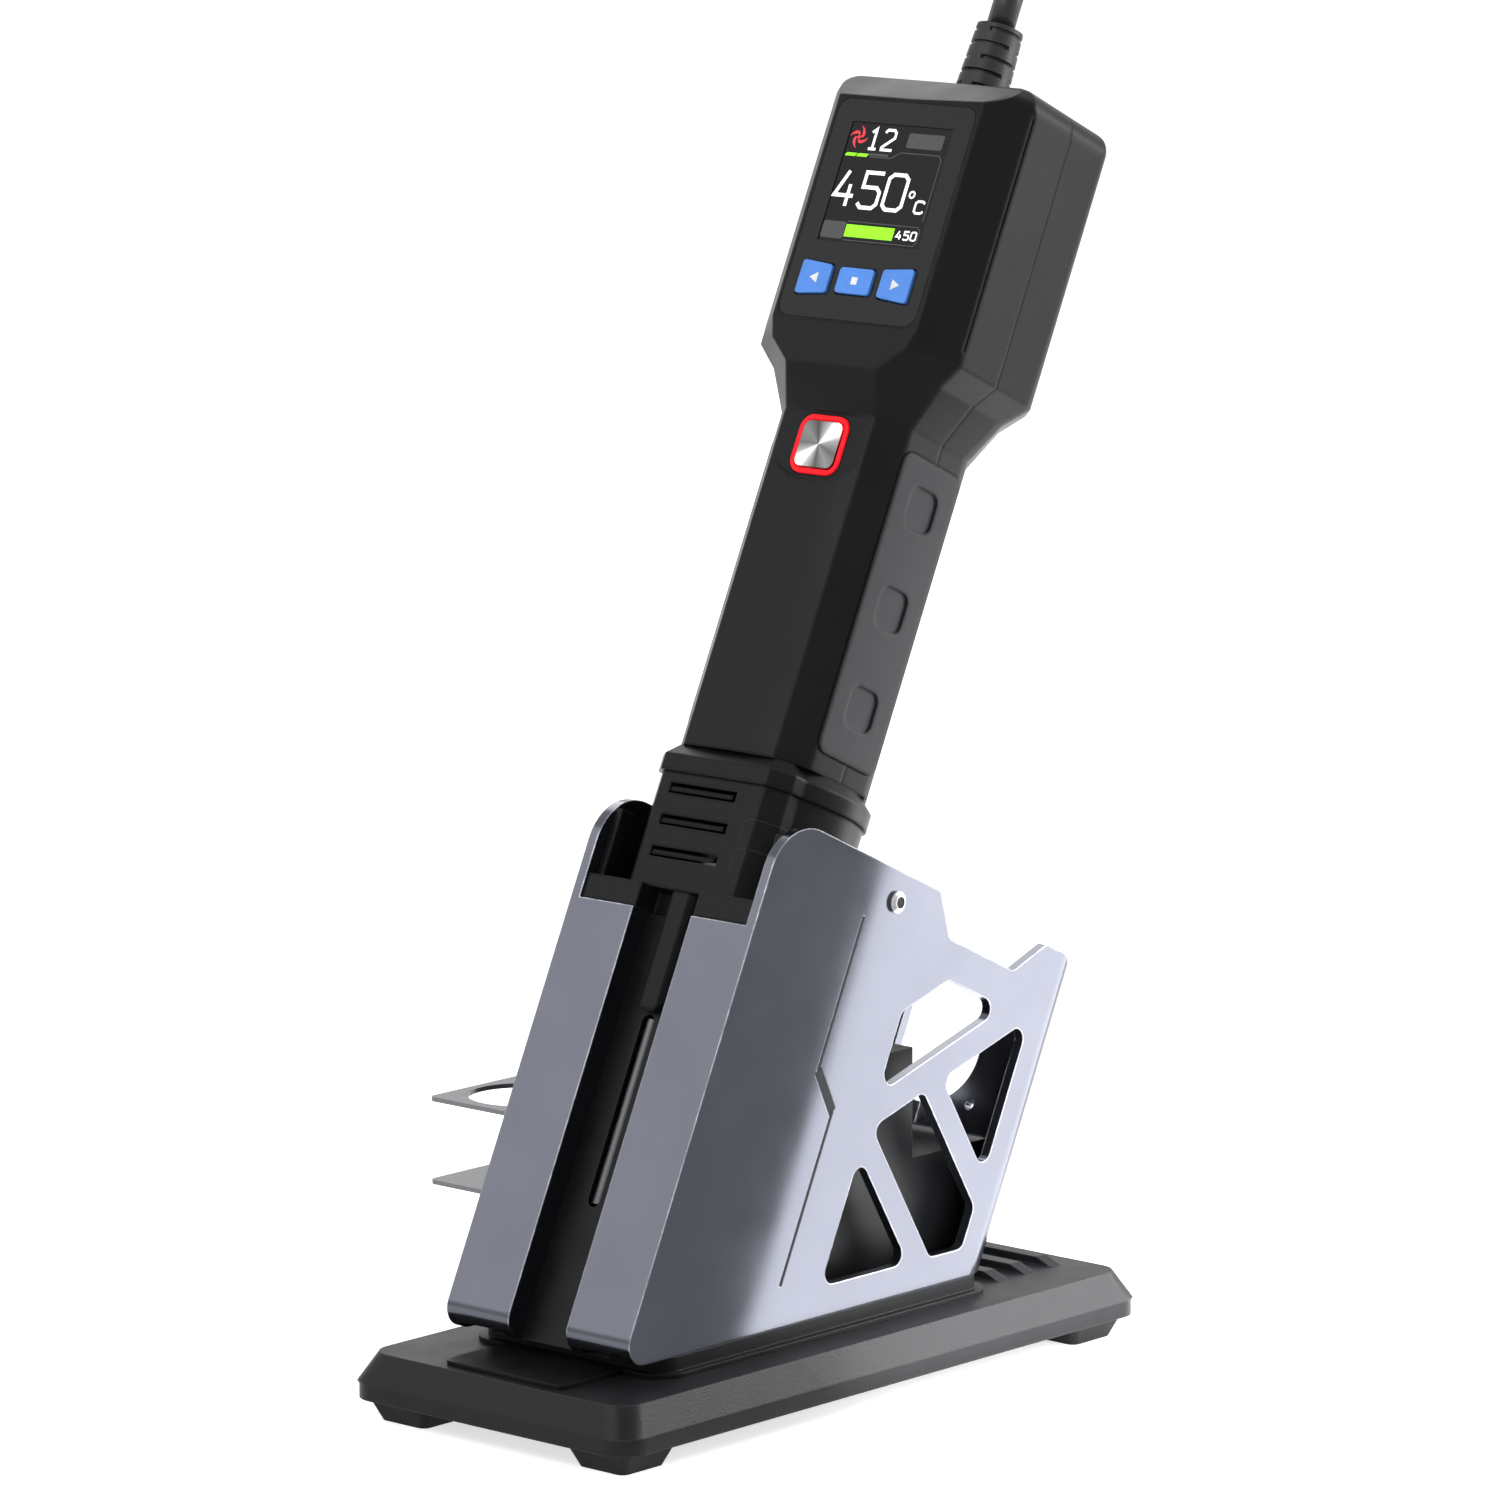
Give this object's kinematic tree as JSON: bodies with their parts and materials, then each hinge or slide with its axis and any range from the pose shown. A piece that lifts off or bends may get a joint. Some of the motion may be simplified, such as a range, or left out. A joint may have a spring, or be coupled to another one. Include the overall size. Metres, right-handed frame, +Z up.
{
  "type": "soldering iron station",
  "caption": "Handheld hot-air soldering gun with a colour screen, standing barrel-down in a leaning sheet-metal stand on a weighted base, with a shelf for spare nozzles.",
  "frame": {"origin": "middle of the base's footprint, on the surface that its feet stand on", "axes": "+Z up, -Y towards the user and the stand's open front, +X the object's right; the gun leans back 25.5 degrees in the YZ plane"},
  "size_m": [0.2006, 0.2286, 0.3274],
  "materials": {
    "plate_paint": "satin grey-blue metallic anodised look",
    "base_paint": "fine-textured black powder coat",
    "black_sheet": "satin black paint",
    "casing_black": "smooth satin, warm black",
    "gloss_black": "glossy black panel",
    "display": "dark glass over a lit colour screen",
    "key_blue": "satin blue with white signs",
    "ring_red": "lit red ring",
    "key_steel": "spun steel with fan-shaped glints",
    "grip_rubber": "soft matt dark grey",
    "foot_rubber": "matt black",
    "sheet_steel": "fine brushed",
    "screw_steel": "bright zinc",
    "tube_steel": "satin steel tube",
    "mica": "pale mica paper",
    "ceramic": "unglazed white ceramic",
    "circuit": "green circuit board",
    "switch_black": "small black switches",
    "motor_can": "bright steel can",
    "cord_black": "matt black flexible cord"
  },
  "bodies": {
    "stand": {"base_plate": "base_paint", "plinth": "black_sheet", "foot_front_left": "foot_rubber", "foot_front_right": "foot_rubber", "foot_rear_left": "foot_rubber", "foot_rear_right": "foot_rubber", "foot_screws": "screw_steel", "plinth_screws": "screw_steel", "right_side_plate": "plate_paint", "left_side_plate": "plate_paint", "cradle": "casing_black", "cradle_bolts": "screw_steel", "heat_shield": "black_sheet", "nozzle_rack": "sheet_steel", "rack_screws": "screw_steel", "cord_coil": "cord_black", "plug": "cord_black"},
    "gun": {"front_shell": "casing_black", "rear_shell": "casing_black", "shell_screws": "screw_steel", "collar": "casing_black", "collar_ring": "casing_black", "barrel": "tube_steel", "barrel_clamp": "tube_steel", "mica_sleeve": "mica", "heater_core": "ceramic", "screen_bezel": "gloss_black", "display_module": "display", "display_board": "circuit", "button_switches": "switch_black", "power_ring": "ring_red", "power_switch": "circuit", "left_grip_pad": "grip_rubber", "right_grip_pad": "grip_rubber", "blower_housing": "casing_black", "blower_motor": "motor_can", "main_board": "circuit", "strain_relief": "cord_black", "cord": "cord_black"},
    "left_button": {"left_button": "key_blue"},
    "stop_button": {"stop_button": "key_blue"},
    "right_button": {"right_button": "key_blue"},
    "power_button": {"power_button": "key_steel"},
    "impeller": {"impeller": "casing_black"}
  },
  "joints": [
    {"name": "gun_lift", "type": "slide", "parent": "stand", "child": "gun", "axis": [0, 0.4302, 0.9027], "range_m": [0, 0.12], "deforming": ["cord"]},
    {"name": "left_button_press", "type": "slide", "parent": "gun", "child": "left_button", "axis": [0, 0.9027, -0.4302], "range_m": [0, 0.0006], "stiffness_N_per_m": 400},
    {"name": "stop_button_press", "type": "slide", "parent": "gun", "child": "stop_button", "axis": [0, 0.9027, -0.4302], "range_m": [0, 0.0006], "stiffness_N_per_m": 400},
    {"name": "right_button_press", "type": "slide", "parent": "gun", "child": "right_button", "axis": [0, 0.9027, -0.4302], "range_m": [0, 0.0006], "stiffness_N_per_m": 400},
    {"name": "power_button_press", "type": "slide", "parent": "gun", "child": "power_button", "axis": [0, 0.9027, -0.4302], "range_m": [0, 0.0006], "stiffness_N_per_m": 400},
    {"name": "impeller_spin", "type": "hinge", "parent": "gun", "child": "impeller", "pos_m": [0, 0.0124, 0.14228], "axis": [0, 0.4302, 0.9027], "continuous": true}
  ]
}
